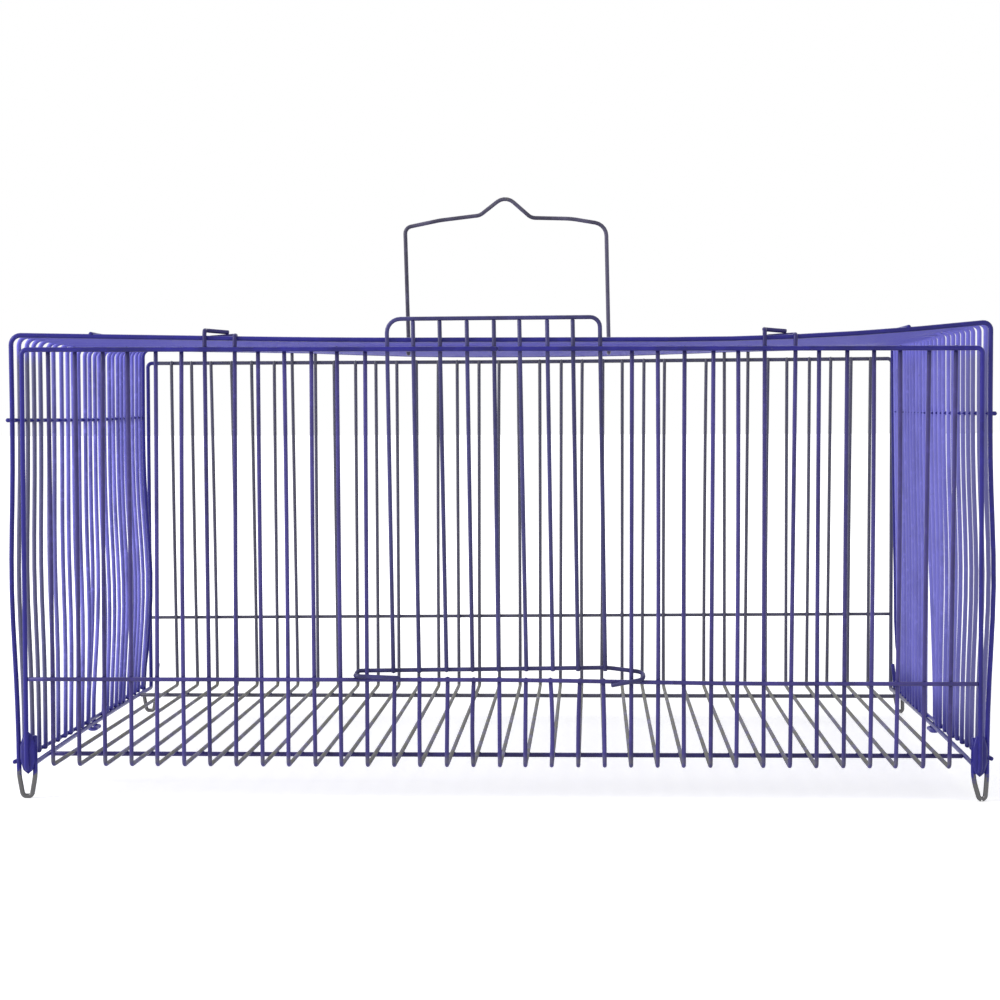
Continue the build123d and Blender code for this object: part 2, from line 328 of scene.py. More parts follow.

# Where the coat changes, each band from its edge to where it is full; the shadow under the top rail,
# the back haze, the light on the cover's right end and the shade on its top are painted light and shade
# Painted backlight and haze: how far the cradle's coat turns paler and greyer towards the back
BACK_HAZE_SHARE = 0.75
RUNNER_TONE = 0.75
WELD_TONE = 0.6
# Painted shadow of the top rail: the cradle's wires are darker for a short way below it
RAIL_SHADOW_TONE = 0.4
RAIL_SHADOW_SHARE = 0.55
RAIL_SHADOW_BAND = (TOP_RAIL_Z - 16 * MM, TOP_RAIL_Z - 4 * MM)
POST_TONE = 1.2
POST_SHARE = 0.9
POST_BAND = (CORNER_X - 8 * MM, CORNER_X - 2 * MM)
DULL_SHARE = 0.9
DULL_BAND = (-COVER_FIRST_Y * 0.3, -COVER_FIRST_Y * 0.85)
# Painted light: the cover's coat turns lighter towards its right end, whose inner faces take the key lamp's
# light
RIGHT_LIGHT_SHARE = 0.35
RIGHT_LIGHT_BAND = (END_X * 0.2, END_X * 0.95)
# Painted shade: the cover's wires are darker along its top, whose visible sides face away from the key lamp
ROOF_SHADE_BAND = (COVER_Z - 14 * MM, COVER_Z)
HEM_SHARE = 0.7
HEM_BAND = (EDGE_Z + 30 * MM, EDGE_Z)
FLOOR_BAND = (FLOOR_Z + 9 * MM, FLOOR_Z + 1.6 * MM)
STAND_BAND = (32 * MM, 2 * MM)
GRIP_BAND = (HANDLE_TOP_Z - 60 * MM, HANDLE_TOP_Z + 60 * MM)

# Places of the colour sockets on a mix node
MIX_FIRST = 6
MIX_SECOND = 7
MIX_RESULT = 2

# The studio
WHITE = (1, 1, 1, 1)
FLOOR_HALF = 20
SHADOW_REACH = 0.5
WHITE_REACH = 1.3
KEY_PLACE = (-2.4, -1.0, 1.4)
KEY_SIZE = 1.8
FILL_PLACE = (2.1, -1.3, 1.0)
FILL_SIZE = 1.4
BACK_PLACE = (0.2, 1.7, 2.1)
BACK_SIZE = 2.6

# Every wire drawn so far, by node: its centreline and its radius
drawn = {}


def coat_colour(name, description, *colour):
    """A colour that a user may change."""
    limits = {"size": 4, "min": 0, "max": 1}
    default = colour + (1,)
    return FloatVectorProperty(name=name, description=description, default=default, subtype="COLOR", **limits)


def length_setting(name, description, default, least=0):
    """A length that a user may change."""
    return FloatProperty(name=name, description=description, default=default, min=least, unit="LENGTH")


def wire_setting(name, description, wire, coat=COAT):
    """The thickness of a coated wire, which a user may change."""
    return length_setting(name, description, wire + 2 * coat, LEAST_WIRE)


def share_setting(name, description, default, most=1):
    """A share that a user may change."""
    limits = {"min": 0, "max": most}
    return FloatProperty(name=name, description=description, default=default, subtype="FACTOR", **limits)


def power_setting(name, description, default):
    """The power of a lamp, which a user may change."""
    return FloatProperty(name=name, description=description, default=default, min=0, unit="POWER")


class CageWires(bpy.types.PropertyGroup):
    """Sizes of the wire and of the small irregularities of the work"""

    grid_wire: wire_setting("Grid wire", "Thickness of the cradle and door wires with their coat", GRID_WIRE)
    cover_wire: wire_setting(
        "Cover wire", "Thickness of the cover wires with their thicker coat", GRID_WIRE, COVER_COAT
    )
    frame_wire: wire_setting(
        "Frame wire", "Thickness of the edge frames, floor runners and foot wires with their coat", FRAME_WIRE
    )
    handle_wire: wire_setting("Handle wire", "Thickness of the handle with its coat", HANDLE_WIRE)
    stray: length_setting("Stray", "How far the top of a welded wire leans sideways from its place", 1.2 * MM)
    settle: share_setting(
        "Settling", "How far the cover's ends have gone aside in use, 0 for a cover as it was made", 1, most=2
    )
    fillet: length_setting("Weld fillet", "How far the weld reaches from the middle of a crossing", 1.8 * MM)
    sides: IntProperty(
        name="Sides",
        description="Sides of a wire's round section",
        default=14,
        min=6,
        max=48,
    )


class CageFinish(bpy.types.PropertyGroup):
    """Colours and gloss of the coat, of what shows where it is worn or dusty, and of the light and shade
    painted on it
    """

    cover: coat_colour("Cover coat", "Colour of the thin coat on the cover's ends", 0.180, 0.172, 0.660)
    # Painted shade: the darker colour along the cover's top
    roof_shade: coat_colour("Cover top shade", "Darker colour painted along the cover's top as shade", 0.155, 0.146, 0.660)
    dulled: coat_colour(
        "Dulled cover coat", "Colour of the cover's ends towards the door", 0.125, 0.123, 0.190
    )
    # Painted light: the lighter colour of the cover's right end, lit by the key lamp from the left
    pale: coat_colour(
        "Cover right end light", "Lighter colour painted on the cover's right end as the key lamp's light", 0.270, 0.260, 0.820
    )
    frame: coat_colour("Frame coat", "Colour of the thick coat on the edge frames", 0.022, 0.018, 0.222)
    cradle: coat_colour("Cradle coat", "Colour of the dulled coat on the cradle wires", 0.055, 0.044, 0.210)
    # Painted backlight and haze: the colour the cradle's wires turn to towards the back
    band_tone: coat_colour(
        "Cradle back haze", "Paler, greyer colour painted on the cradle's back wires as backlight and haze", 0.130, 0.130, 0.140
    )
    door: coat_colour("Door coat", "Colour of the dulled coat on the door", 0.048, 0.044, 0.160)
    handle: coat_colour("Handle coat", "Colour of the handled coat on the bail", 0.085, 0.078, 0.130)
    steel: coat_colour(
        "Bare steel", "Colour of the wire where the coat is rubbed through", 0.125, 0.123, 0.127
    )
    dust: coat_colour("Dust", "Colour of the film of dry dirt on the floor wires", 0.190, 0.188, 0.155)
    gloss_roughness: share_setting("Coat roughness", "Roughness of the clean coat", 0.36)
    shine: share_setting("Coat shine", "How strongly the coat mirrors what is around it", 0.3)


class CageStudio(bpy.types.PropertyGroup):
    """The camera, the lamps and the floor"""

    camera_place: FloatVectorProperty(
        name="Camera place",
        description="Where the camera stands",
        default=(0.0571, -1.5718, 0.2422),
        subtype="TRANSLATION",
    )
    camera_turn: FloatVectorProperty(
        name="Camera turn",
        description="How the camera is turned",
        default=(math.pi / 2 - 0.0405, 0.0035, 0.0408),
        subtype="EULER",
    )
    lens: FloatProperty(
        name="Lens",
        description="Focal length of the camera in millimetres",
        default=80.16,
        min=1,
    )
    floor_colour: coat_colour("Floor", "Colour of the pale floor", 0.86, 0.86, 0.86)
    floor_glow: share_setting(
        "Floor glow", "How much the floor under the cage is raised towards white in the picture", 0.5
    )
    key_power: power_setting("Key lamp", "Power of the large lamp at the left", 58)
    fill_power: power_setting("Fill lamp", "Power of the lamp at the right", 5)
    back_power: power_setting("Back lamp", "Power of the lamp behind and above", 18)
    room_light: FloatProperty(
        name="Room light",
        description="Strength of the even light from all sides",
        default=0.45,
        min=0,
    )


def corner(x, y, z):
    """A point of a wire's route."""
    return Vector((x, y, z))


def of_side(pair, x):
    """The left or the right one of a pair, for a place along the length."""
    return pair[1] if x > 0 else pair[0]


def bent_line(corners, bends):
    """A wire's centreline through its corners, each rounded to its bend, in short steps."""
    points = [corners[0]]
    for before, turn_point, after, bend in zip(corners, corners[1:], corners[2:], bends):
        inward = turn_point - before
        outward = after - turn_point
        turn = inward.angle(outward)
        if turn < LEAST_TURN:
            points.append(turn_point)
            continue
        if bend is BOWED:
            bend = BOW_SHARE * min(inward.length, outward.length) / math.tan(turn / 2)
        start = turn_point - inward.normalized() * bend * math.tan(turn / 2)
        axis = inward.cross(outward).normalized()
        hub = start + axis.cross(inward.normalized()) * bend
        steps = max(LEAST_ARC_STEPS, round(turn / ARC_STEP))
        for step in range(steps + 1):
            points.append(hub + Quaternion(axis, turn * step / steps) @ (start - hub))
    points.append(corners[-1])
    return divided(points)


def divided(points):
    """The same line with its long straight runs cut into steps."""
    line = [points[0]]
    for start, end in zip(points, points[1:]):
        steps = max(1, math.ceil((end - start).length / RUN_STEP))
        line += [start.lerp(end, step / steps) for step in range(1, steps + 1)]
    return line


def leaning(corners, direction, reaches, name):
    """A route whose corners each stray sideways a little, as a hand-welded wire does."""
    dice = random.Random(name)
    return [point + direction * reach * dice.uniform(-1, 1) for point, reach in zip(corners, reaches)]


def cut_rings(point, inward, side, up, radius):
    """The rings of a cut end, which the coat has softened."""
    return [(point + inward * inset * radius, side, up, radius * share) for inset, share in CUT_RINGS]


def tube(points, radius, sides):
    """The vertices and faces of a round wire along its centreline."""
    steps = [(b - a).normalized() for a, b in zip(points, points[1:])]
    tangents = [steps[0]] + [(a + b).normalized() for a, b in zip(steps, steps[1:])] + [steps[-1]]
    side = tangents[0].orthogonal().normalized()
    last = tangents[0]
    rings = []
    for point, tangent in zip(points, tangents):
        side = (last.rotation_difference(tangent) @ side).normalized()
        rings.append((point, side, tangent.cross(side), radius))
        last = tangent
    first_end = cut_rings(points[0], tangents[0], *rings[0][1:])
    last_end = cut_rings(points[-1], -tangents[-1], *rings[-1][1:])
    rings = first_end + rings[1:-1] + last_end[::-1]
    turns = [(math.cos(math.tau * k / sides), math.sin(math.tau * k / sides)) for k in range(sides)]
    verts = [middle + (a * c + b * s) * r for middle, a, b, r in rings for c, s in turns]
    faces = [tuple(range(sides - 1, -1, -1))]
    for ring in range(len(rings) - 1):
        for k in range(sides):
            here, there = ring * sides, (ring + 1) * sides
            following = (k + 1) % sides
            faces.append((here + k, here + following, there + following, there + k))
    faces.append(tuple(range(len(verts) - sides, len(verts))))
    return verts, faces


def bead(middle, along, across, reaches):
    """The vertices and faces of a weld bead at a crossing, which reaches along, across and out."""
    normal = along.cross(across).normalized()
    across = normal.cross(along) * reaches[1]
    along = along * reaches[0]
    normal = normal * reaches[2]
    verts = [middle + normal]
    for level in range(1, FILLET_LEVELS):
        tilt = math.pi * level / FILLET_LEVELS
        for k in range(FILLET_ROUND):
            turn = math.tau * k / FILLET_ROUND
            flat = along * math.cos(turn) + across * math.sin(turn)
            verts.append(middle + flat * math.sin(tilt) + normal * math.cos(tilt))
    verts.append(middle - normal)
    faces = []
    bottom = len(verts) - 1
    for k in range(FILLET_ROUND):
        following = (k + 1) % FILLET_ROUND
        faces.append((0, 1 + k, 1 + following))
        for level in range(FILLET_LEVELS - 2):
            here, there = 1 + level * FILLET_ROUND, 1 + (level + 1) * FILLET_ROUND
            faces.append((here + k, there + k, there + following, here + following))
        low = bottom - FILLET_ROUND
        faces.append((bottom, low + following, low + k))
    return verts, faces


def mesh_piece(name, parts, coat_name, slot):
    """One piece made of several closed meshes, riding on a body of the cage."""
    verts = []
    faces = []
    for part_verts, part_faces in parts:
        start = len(verts)
        verts += part_verts
        faces += [tuple(start + k for k in face) for face in part_faces]
    if not faces:
        raise RuntimeError(f"{name} has nothing to draw")
    mesh = bpy.data.meshes.new(name)
    mesh.from_pydata(verts, [], faces)
    mesh.polygons.foreach_set("use_smooth", [True] * len(mesh.polygons))
    mesh.materials.append(coat(coat_name))
    mesh.update()
    piece = bpy.data.objects.new(name, mesh)
    bpy.context.scene.collection.objects.link(piece)
    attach(piece, BODIES[slot])
    return piece


def coat_wires(node, lines, thickness, coat_name, slot, floor=None):
    """Draws the wires of one node along their centrelines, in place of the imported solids."""
    sides = bpy.context.scene.cage_wires.sides
    drawn[node] = [(points, thickness / 2) for points in lines]
    parts = [tube(points, radius, sides) for points, radius in drawn[node]]
    if floor is not None:
        parts = [([corner(v.x, v.y, max(v.z, floor)) for v in verts], faces) for verts, faces in parts]
    piece = mesh_piece(f"coated_{node}", parts, coat_name, slot)
    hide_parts(node)


def empty_tree(holder):
    """The shader tree of a material or a world, with nothing in it."""
    holder.use_nodes = True
    holder.node_tree.nodes.clear()
    return holder.node_tree


def put(tree, kind, inputs=(), **options):
    """Adds a node to a tree, sets its options, and fills or links its inputs."""
    node = tree.nodes.new(kind)
    for option, value in options.items():
        setattr(node, option, value)
    for key, value in dict(inputs).items():
        if isinstance(value, bpy.types.NodeSocket):
            tree.links.new(value, node.inputs[key])
        else:
            node.inputs[key].default_value = value
    return node


def noise(tree, vector, scale, detail, roughness):
    """A noise texture's value."""
    inputs = {"Vector": vector, "Scale": scale, "Detail": detail, "Roughness": roughness}
    return put(tree, "ShaderNodeTexNoise", inputs).outputs["Fac"]


def ramp(tree, value, low, high):
    """A value spread smoothly from 0 at one level to 1 at another."""
    inputs = {"Value": value, "From Min": low, "From Max": high}
    return put(tree, "ShaderNodeMapRange", inputs, interpolation_type="SMOOTHSTEP").outputs["Result"]


def spots(tree, vector, scale, detail, roughness, low, high):
    """Noise drawn out into spots between two levels."""
    return ramp(tree, noise(tree, vector, scale, detail, roughness), low, high)


def math_node(tree, operation, first, second=0.0, third=0.0):
    """The result of one sum on up to three values."""
    node = put(tree, "ShaderNodeMath", {0: first, 1: second, 2: third}, operation=operation)
    return node.outputs["Value"]


def mixed(tree, share, first, second):
    """Two colours mixed by a share."""
    inputs = {0: share, MIX_FIRST: first, MIX_SECOND: second}
    return put(tree, "ShaderNodeMix", inputs, data_type="RGBA").outputs[MIX_RESULT]


VECTOR = "NodeSocketVector"
COLOUR = "NodeSocketColor"
VALUE = "NodeSocketFloat"


def effect_group(name, output, kind, **inputs):
    """An empty shader group with named sockets, its inputs and its output."""
    tree = bpy.data.node_groups.new(name, "ShaderNodeTree")
    for socket, socket_kind in inputs.items():
        tree.interface.new_socket(name=socket, in_out="INPUT", socket_type=socket_kind)
    tree.interface.new_socket(name=output, in_out="OUTPUT", socket_type=kind)
    given = tree.nodes.new("NodeGroupInput").outputs
    return tree, given, tree.nodes.new("NodeGroupOutput").inputs[output]


def coat_tone_group(name):
    """The uneven colour of a dipped coat: each wire its own tone, thick patches and fine mottling."""
    tones = {"Coat": COLOUR, "Deep": COLOUR, "Thin": COLOUR}
    inputs = {"Vector": VECTOR, "Lay": VECTOR, **tones, "Uneven": VALUE}
    tree, given, result = effect_group(name, "Colour", COLOUR, **inputs)
    laid = put(tree, "ShaderNodeVectorMath", {0: given["Vector"], 1: given["Lay"]}, operation="MULTIPLY")
    own = mixed(tree, spots(tree, laid.outputs["Vector"], *WIRE_TONES), given["Deep"], given["Thin"])
    toned = mixed(tree, math_node(tree, "MULTIPLY", given["Uneven"], WIRE_TONE_SHARE), given["Coat"], own)
    for grain, tone in ((THICK_PATCHES, "Deep"), (MOTTLING, "Thin")):
        share = math_node(tree, "MULTIPLY", spots(tree, given["Vector"], *grain), given["Uneven"])
        toned = mixed(tree, share, toned, given[tone])
    tree.links.new(toned, result)
    return tree


def coat_peel_group(name):
    """The fine swell of a baked coat, as a height."""
    tree, given, result = effect_group(name, "Height", VALUE, Vector=VECTOR)
    swell = noise(tree, given["Vector"], *COAT_SWELL)
    grit = math_node(tree, "MULTIPLY", noise(tree, given["Vector"], *COAT_GRIT), GRIT_SHARE)
    tree.links.new(math_node(tree, "ADD", swell, grit), result)
    return tree


def rubbed_group(name):
    """Where the coat is rubbed through: all over a rubbed place, and in chips elsewhere."""
    tree, given, result = effect_group(name, "Mask", VALUE, Vector=VECTOR, Place=VALUE, Chips=VALUE)
    grain = noise(tree, given["Vector"], *RUB_GRAIN)
    rubbed = ramp(tree, math_node(tree, "MULTIPLY_ADD", given["Place"], RUB_SHARE, grain), *RUB_LEVELS)
    chipped = math_node(tree, "MULTIPLY", spots(tree, given["Vector"], *COAT_CHIPS), given["Chips"])
    tree.links.new(math_node(tree, "MAXIMUM", rubbed, chipped), result)
    return tree


def dust_group(name):
    """A film of dry dirt on what faces up, broken up by handling."""
    tree, given, result = effect_group(name, "Mask", VALUE, Vector=VECTOR, Upward=VALUE, Amount=VALUE)
    lying = ramp(tree, given["Upward"], *LYING_LEVELS)
    film = math_node(tree, "MULTIPLY", lying, spots(tree, given["Vector"], *BROKEN_FILM))
    tree.links.new(math_node(tree, "MULTIPLY", film, given["Amount"]), result)
    return tree


def place_band_group(name):
    """How far a point lies into a band along some direction, from 0 at one edge to 1 at the other."""
    edges = {"Edge": VALUE, "Full": VALUE}
    tree, given, result = effect_group(name, "Mask", VALUE, Vector=VECTOR, Direction=VECTOR, **edges)
    inputs = {0: given["Vector"], 1: given["Direction"]}
    reach = put(tree, "ShaderNodeVectorMath", inputs, operation="DOT_PRODUCT").outputs["Value"]
    tree.links.new(ramp(tree, reach, given["Edge"], given["Full"]), result)
    return tree


EFFECTS = {
    "Coat tone": coat_tone_group,
    "Coat peel": coat_peel_group,
    "Rubbed through": rubbed_group,
    "Settled dust": dust_group,
    "Place band": place_band_group,
}


def effect(tree, name, **inputs):
    """Places a shared effect in a material, made once and used again."""
    group = bpy.data.node_groups.get(name) or EFFECTS[name](name)
    return put(tree, "ShaderNodeGroup", inputs.items(), node_tree=group).outputs[0]


def band(tree, place, direction, edge, full):
    """How far a point of the cage lies into a band."""
    return effect(tree, "Place band", Vector=place, Direction=direction, Edge=edge, Full=full)


def shaded(colour, share):
    """A colour made darker or lighter."""
    return [min(1, part * share) for part in colour[:3]] + [1]


def coat_material(
    name, colour, lay=WIRE_ACROSS_X, fades=(), rub_band=None, dust_band=None, chips=CHIPPED, uneven=UNEVEN
):
    """The coat of one group of wires, fading to other tones in bands, some of them painted light and shade,
    and rubbed or dusty in bands.
    """
    finish = bpy.context.scene.cage_finish
    material = bpy.data.materials.new(name)
    tree = empty_tree(material)
    place = put(tree, "ShaderNodeTexCoord").outputs["Object"]
    tones = {"Coat": shaded(colour, 1), "Deep": shaded(colour, DEEP_TONE), "Thin": shaded(colour, THIN_TONE)}
    tone = effect(tree, "Coat tone", Vector=place, Lay=lay, Uneven=uneven, **tones)
    for band_tone, share, direction, edges in fades:
        reach = math_node(tree, "MULTIPLY", band(tree, place, direction, *edges), share)
        tone = mixed(tree, reach, tone, shaded(band_tone, 1))
    rub_place = band(tree, place, UP, *rub_band) if rub_band else 0.0
    rubbed = effect(tree, "Rubbed through", Vector=place, Place=rub_place, Chips=chips)
    tone = mixed(tree, rubbed, tone, list(finish.steel))
    clouds = spots(tree, place, *GLOSS_CLOUDS)
    glossiest = finish.gloss_roughness - GLOSS_SPREAD / 2
    roughness = math_node(tree, "MULTIPLY_ADD", clouds, GLOSS_SPREAD, glossiest)
    if dust_band:
        normal = put(tree, "ShaderNodeNewGeometry").outputs["Normal"]
        upward = put(tree, "ShaderNodeSeparateXYZ", {0: normal}).outputs["Z"]
        film = effect(tree, "Settled dust", Vector=place, Upward=upward, Amount=DUST_AMOUNT)
        film = math_node(tree, "MULTIPLY", film, band(tree, place, UP, *dust_band))
        tone = mixed(tree, film, tone, list(finish.dust))
        roughness = math_node(tree, "MULTIPLY_ADD", film, DUST_ROUGHNESS, roughness)
    height = effect(tree, "Coat peel", Vector=place)
    peel = {"Strength": PEEL_STRENGTH, "Distance": PEEL_DEPTH, "Height": height}
    inputs = {
        "Base Color": tone,
        "Roughness": roughness,
        "Metallic": rubbed,
        "Specular IOR Level": finish.shine,
        "Normal": put(tree, "ShaderNodeBump", peel).outputs["Normal"],
    }
    shader = put(tree, "ShaderNodeBsdfPrincipled", inputs)
    put(tree, "ShaderNodeOutputMaterial", {"Surface": shader.outputs["BSDF"]})
    return material


def coat(name):
    """The coat of one group of wires, with where it fades, is rubbed and is dusty; the rail shadow, the back
    haze, the right end's light and the roof shade are painted light and shade.
    """
    finish = bpy.context.scene.cage_finish
    # Painted backlight and haze: the cradle's wires paler and greyer towards the back
    back = (finish.band_tone, BACK_HAZE_SHARE, ACROSS, (FRONT_Y / 2, BACK_Y))
    # Painted shadow: the cradle's wires darker just below the top rail
    rail_shadow = (shaded(finish.frame, RAIL_SHADOW_TONE), RAIL_SHADOW_SHARE, UP, RAIL_SHADOW_BAND)
    post = (shaded(finish.frame, POST_TONE), POST_SHARE, -ALONG, POST_BAND)
    dulled = (finish.dulled, DULL_SHARE, -ACROSS, DULL_BAND)
    # Painted shade: the cover darker along its top
    roof_shade = (finish.roof_shade, 1, UP, ROOF_SHADE_BAND)
    # Painted light: the cover lighter towards its right end
    pale = (finish.pale, RIGHT_LIGHT_SHARE, ALONG, RIGHT_LIGHT_BAND)
    hem = (finish.frame, HEM_SHARE, UP, HEM_BAND)
    ends = {"lay": WIRE_ACROSS_Y, "fades": [dulled, roof_shade, pale, hem], "uneven": COVER_UNEVEN}
    coats = {
        "Cradle coat": (finish.cradle, {"fades": [rail_shadow, back], "dust_band": FLOOR_BAND}),
        "Rail coat": (finish.cradle, {"fades": [back]}),
        "Runner coat": (shaded(finish.cradle, RUNNER_TONE), {"fades": [back]}),
        "Frame coat": (finish.frame, {"fades": [back, post]}),
        "Edge coat": (finish.frame, {}),
        "Weld coat": (shaded(finish.frame, WELD_TONE), {"chips": WELD_CHIPPED}),
        "Cover coat": (finish.cover, ends),
        "Foot coat": (finish.frame, {"lay": WIRE_ACROSS_Y, "rub_band": STAND_BAND}),
        "Door coat": (finish.door, {}),
        "Handle coat": (finish.handle, {"rub_band": GRIP_BAND, "uneven": HANDLE_UNEVEN}),
    }
    colour, details = coats[name]
    return bpy.data.materials.get(name) or coat_material(name, colour, **details)


def grid_x(index):
    """Where a cradle wire stands along the length."""
    return (index - GRID_SPACES / 2) * PITCH


def cover_y(index):
    """Where a cover wire stands along the depth."""
    return COVER_FIRST_Y + index * COVER_PITCH


def share_between(value, low, high):
    """How far a value lies from one level to another, from 0 to 1."""
    return min(max((value - low) / (high - low), 0), 1)


def eased(share):
    """A share that starts and ends gently."""
    return share * share * (3 - 2 * share)


def cradle_set(points, lean=1):
    """A line of the cradle as it has settled: leaning at the right, drawn in and raised at the back."""
    moved = []
    for point in points:
        height = share_between(point.z, FLOOR_Z, TOP_RAIL_Z)
        depth = share_between(point.y, FRONT_Y, BACK_Y)
        along = point.x / CORNER_X
        out = -LEFT_FOOT_IN * depth * (1 - height)
        if along > 0:
            out = RIGHT_TOP_OUT * height * (1 - depth) - RIGHT_FOOT_IN * (1 - height)
        rise = (BACK_RIM_RISE + RIGHT_RIM_RISE * max(0, along)) * depth - FRONT_RIM_TILT * along * (1 - depth)
        moved.append(point + Vector((lean * out * along, 0, rise * height**TOP_SHARE)))
    return moved


def floor_edge_out(side, y):
    """How much further out a floor edge of the cradle lies at some depth than its node."""
    depth = share_between(y, FRONT_Y, BACK_Y)
    corner_out = LEFT_BACK_OUT * depth if side < 0 else 0
    return corner_out + FLOOR_EDGE_BOW * math.sin(math.pi * depth) ** FLOOR_EDGE_ROUND


def front_rail_bend(x):
    """How much higher the front rail lies at some place along it than its node."""
    return FRONT_RAIL_RISE - FRONT_RAIL_FALL * eased(share_between(x, *FRONT_RAIL_SLOPE))


def back_rail_bend(x):
    """How much higher the back rail lies at some place along it than its node."""
    return BACK_RAIL_TILT * x / CORNER_X - BACK_RAIL_FALL


def edge_bend(side, y):
    """How much higher a bottom edge of the cover lies at some depth than its node."""
    depth = share_between(y, COVER_FIRST_Y, COVER_LAST_Y)
    front, back = of_side(EDGE_SETTLES, side)
    sag = of_side(EDGE_SAGS, side) * math.sin(math.pi * depth)
    return front + (back - front) * depth - sag


def aside(reaches, belly, height):
    """How far a corner of the cover has gone aside at some height."""
    foot, top, swell = reaches
    middle, spread = belly
    return foot + (top - foot) * height + swell * math.exp(-(((height - middle) / spread) ** 2))


def handle_press(point):
    """How far the handle has pressed the top down at some place, where it comes to lie, from 0 to 1."""
    front_y = PIVOT.y + COVER_Z - HANDLE_TOP_Z - PRESS_MARGIN
    beside = 1 - eased(share_between(abs(point.x), PRESS_X, PRESS_X + PRESS_RUN))
    return beside * eased(share_between(point.y, front_y - PRESS_RUN, front_y))


def settled(points, foot_shares=FOOT_BOW_SHARES):
    """A line of the cover as it has settled: its ends gone aside and bowed in, its top lifted and sunk."""
    settle = bpy.context.scene.cage_wires.settle
    moved = []
    for point in points:
        height = share_between(point.z, EDGE_Z, COVER_Z)
        depth = share_between(point.y, COVER_FIRST_Y, COVER_LAST_Y)
        behind = share_between(point.y, cover_y(MIDDLE_WIRES[1]), COVER_LAST_Y)
        along = point.x / END_X
        front_out = aside(of_side(FRONT_ASIDES, along), FRONT_BELLY, height)
        out = front_out * (1 - depth) + aside(of_side(BACK_ASIDES, along), BACK_BELLY, height) * depth
        foot_bow = of_side(foot_shares, along)
        bow_share = foot_bow + (1 - foot_bow) * eased(share_between(height, 0, FOOT_BOW_BAND))
        out += of_side(END_BOWS, along) * bow_share * math.sin(math.pi * depth)
        rise = (BACK_RISE + BACK_BOW * min(1, (point.x / BOW_REACH) ** 2)) * behind
        pressed = handle_press(point)
        rise += (FRONT_LIFT - FRONT_TILT * along) * (1 - depth) * (1 - pressed) - HANDLE_PRESS * pressed
        sink = LEFT_SINK * math.sin(math.pi * depth) * abs(along) ** END_SHARE * height**TOP_SHARE
        if along > 0:
            sink = RIGHT_SINK * depth * max(0, point.z - COVER_Z)
        moved.append(point + Vector((settle * out * abs(along), 0, rise * height**TOP_SHARE - sink)))
    return moved


def grid_line(index, front_top=WIRE_TOP_Z, stray=None):
    """A plain cradle wire: down the front, straight along the floor and up the back."""
    if stray is None:
        stray = bpy.context.scene.cage_wires.stray
    x = grid_x(index)
    corners = [
        corner(x, FRONT_Y, front_top),
        corner(x, FRONT_Y, (front_top + FLOOR_Z) / 2),
        corner(x, FRONT_Y, FLOOR_Z),
        corner(x, BACK_Y, FLOOR_Z),
        corner(x, BACK_Y, (WIRE_TOP_Z + FLOOR_Z) / 2),
        corner(x, BACK_Y, WIRE_TOP_Z),
    ]
    reaches = [stray * share for share in UPRIGHT_STRAY]
    corners = leaning(corners, ALONG, reaches, f"cradle wire {index}")
    return cradle_set(bent_line(corners, [BOWED, GRID_BEND, GRID_BEND, BOWED]))


def doorway_line(index):
    """A cradle wire under the doorway, cut just above the front rail."""
    return grid_line(index, FRONT_RAIL_Z + front_rail_bend(grid_x(index)) + GRID_R)


def tie_end(top_x, partner_x, upright_y, bar_y, share, hook_z):
    """The end of a tie wire, from its cut along the loop's bar to the top of its upright."""
    return [
        corner(top_x + (partner_x - top_x) * share, bar_y, hook_z - TIE_FALL),
        corner(top_x, bar_y, hook_z),
        corner(top_x, upright_y, hook_z),
    ]


def tie_line(index, partner, ends):
    """A cradle wire whose ends reach over the cover and meet those of its partner."""
    outward = 1 if index > partner else -1
    top_x = grid_x(index) + outward * TIE_SPREAD
    partner_x = grid_x(partner) - outward * TIE_SPREAD
    hook_z = COVER_Z + TIE_RISE
    share, drop = of_side(ends, outward)
    front = tie_end(top_x, partner_x, FRONT_Y, FRONT_Y + TIE_REACH, share, hook_z - drop)
    back = tie_end(top_x, partner_x, BACK_Y, BACK_Y - TIE_REACH, BACK_TIE_SHARE, hook_z)
    floor = [corner(grid_x(index), FRONT_Y, FLOOR_Z), corner(grid_x(index), BACK_Y, FLOOR_Z)]
    bends = [TIE_BEND] * 2 + [GRID_BEND] * 2 + [TIE_BEND] * 2
    return cradle_set(bent_line(front + floor + back[::-1], bends))


def tie_lines(pair, ends):
    """Both wires of a tie."""
    first, second = pair
    return [tie_line(first, second, ends), tie_line(second, first, ends)]


def frame_line(side):
    """Half of the cradle's edge frame, on the left for side -1 and on the right for side 1."""
    x = side * CORNER_X
    back_x = x + side * floor_edge_out(side, BACK_Y)
    corners = [
        corner(side * BUTT_GAP / 2, FRAME_FRONT_Y, TOP_RAIL_Z),
        corner(x, FRAME_FRONT_Y, TOP_RAIL_Z),
        corner(x, FRAME_FRONT_Y, FRAME_FLOOR_Z),
        corner(back_x, FRAME_BACK_Y, FRAME_FLOOR_Z),
        corner(back_x, FRAME_BACK_Y, TOP_RAIL_Z),
        corner(side * BUTT_GAP / 2, FRAME_BACK_Y, TOP_RAIL_Z),
    ]
    line = cradle_set(bent_line(corners, [FRAME_BEND] * 4), lean=0)
    lowest = FRAME_FLOOR_Z + GRID_R
    return [corner(x + side * floor_edge_out(side, p.y), p.y, p.z) if p.z < lowest else p for p in line]


def straight_line(node, along):
    """The centreline of a straight wire, from the box of its node and the axis it runs along."""
    low, high = box(node)
    start, end = middle_of(node), middle_of(node)
    start[along] = low[along]
    end[along] = high[along]
    return divided([start, end])


def lift_bend(lift, run, share):
    """The radius that spreads the top's gentle upward bend over a share of its run."""
    return share * run / math.tan(math.atan2(lift, run) / 2)


